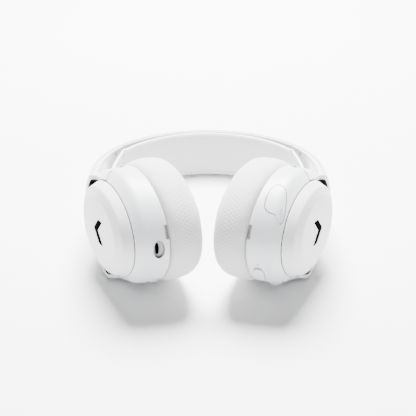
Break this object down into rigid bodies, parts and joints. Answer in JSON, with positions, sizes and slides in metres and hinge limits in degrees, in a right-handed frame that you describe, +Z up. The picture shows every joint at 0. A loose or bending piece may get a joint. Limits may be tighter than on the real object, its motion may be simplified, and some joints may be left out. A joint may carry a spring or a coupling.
{
  "type": "gaming headset",
  "caption": "Wireless over-ear gaming headset with knit ear cushions, a suspension strap, sliding arms, forked yokes and a retracting microphone.",
  "frame": {"origin": "on the floor under the middle of the bounding box", "axes": "+X to the wearer's left, +Y towards the headband, +Z up, which is the wearer's front as the headset lies on its back"},
  "size_m": [0.1754, 0.1924, 0.0803],
  "materials": {
    "white_plastic": "fine moulded satin",
    "white_gloss": "polished",
    "knit_fabric": "knit with small eyelets",
    "black_cloth": "open cloth",
    "black_plastic": "moulded",
    "grey_plastic": "moulded",
    "steel": "plain",
    "board": "solder mask",
    "light": "clear light pipe"
  },
  "bodies": {
    "headband": {"headband_cover": "white_plastic", "headband_liner": "white_plastic", "spring_band": "steel", "headband_strap": "knit_fabric", "strap_end_left": "white_plastic", "strap_end_right": "white_plastic", "arm_left": "white_gloss", "arm_right": "white_gloss", "arm_screw_left": "steel", "arm_screw_right": "steel"},
    "slider_left": {"slider_left": "steel", "swivel_pin_left": "steel"},
    "yoke_left": {"yoke_left": "white_plastic"},
    "cup_left": {"cup_shell_left": "white_plastic", "pivot_pin_front_left": "steel", "pivot_pin_back_left": "steel", "speaker_plate_left": "white_plastic", "plate_mark_left": "black_plastic", "cushion_left": "knit_fabric", "cushion_ring_left": "black_plastic", "speaker_cloth_left": "black_cloth", "baffle_left": "black_plastic", "driver_frame_left": "grey_plastic", "driver_magnet_left": "steel", "driver_diaphragm_left": "grey_plastic", "circuit_board_left": "board"},
    "microphone": {"mic_boom": "black_plastic", "mic_cap": "white_plastic"},
    "mute_button": {"mute_button": "white_plastic"},
    "volume_wheel": {"volume_wheel": "white_plastic"},
    "slider_right": {"slider_right": "steel", "swivel_pin_right": "steel"},
    "yoke_right": {"yoke_right": "white_plastic"},
    "cup_right": {"cup_shell_right": "white_plastic", "pivot_pin_front_right": "steel", "pivot_pin_back_right": "steel", "speaker_plate_right": "white_plastic", "plate_mark_right": "black_plastic", "cushion_right": "knit_fabric", "cushion_ring_right": "black_plastic", "speaker_cloth_right": "black_cloth", "baffle_right": "black_plastic", "driver_frame_right": "grey_plastic", "driver_magnet_right": "steel", "driver_diaphragm_right": "grey_plastic", "circuit_board_right": "board", "battery": "grey_plastic", "usb_socket": "black_plastic", "status_light": "light"},
    "power_button": {"power_button": "white_plastic"}
  },
  "joints": [
    {"name": "height_left", "type": "slide", "parent": "headband", "child": "slider_left", "axis": [0, -0.9883, 0.1525], "range_m": [0, 0.025]},
    {"name": "swivel_left", "type": "hinge", "parent": "slider_left", "child": "yoke_left", "pos_m": [0.0812, -0.02015, 0.03617], "axis": [0, 0.9883, -0.1525], "range_deg": [-28, 0]},
    {"name": "tilt_left", "type": "hinge", "parent": "yoke_left", "child": "cup_left", "pos_m": [0.05894, -0.05543, 0.04078], "axis": [0.1762, 0.4754, 0.862], "range_deg": [-2, 6]},
    {"name": "microphone_slide", "type": "slide", "parent": "cup_left", "child": "microphone", "axis": [-0.2806, -0.4115, 0.8671], "range_m": [0, 0.045]},
    {"name": "mute_press", "type": "slide", "parent": "cup_left", "child": "mute_button", "axis": [0.377, 0.8038, 0.4602], "range_m": [0, 0.0008], "stiffness_N_per_m": 1500, "springref_m": -0.0003},
    {"name": "volume_turn", "type": "hinge", "parent": "cup_left", "child": "volume_wheel", "pos_m": [0.04585, -0.07762, 0.01497], "axis": [0.4092, 0.7061, -0.5779], "continuous": true},
    {"name": "height_right", "type": "slide", "parent": "headband", "child": "slider_right", "axis": [0, -0.9883, 0.1525], "range_m": [0, 0.025]},
    {"name": "swivel_right", "type": "hinge", "parent": "slider_right", "child": "yoke_right", "pos_m": [-0.0812, -0.02015, 0.03617], "axis": [0, 0.9883, -0.1525], "range_deg": [0, 28]},
    {"name": "tilt_right", "type": "hinge", "parent": "yoke_right", "child": "cup_right", "pos_m": [-0.05894, -0.05543, 0.04078], "axis": [-0.1762, 0.4754, 0.862], "range_deg": [-6, 2]},
    {"name": "power_press", "type": "slide", "parent": "cup_right", "child": "power_button", "axis": [-0.2636, 0.6256, 0.7343], "range_m": [0, 0.0007], "stiffness_N_per_m": 1500, "springref_m": -0.0003}
  ]
}
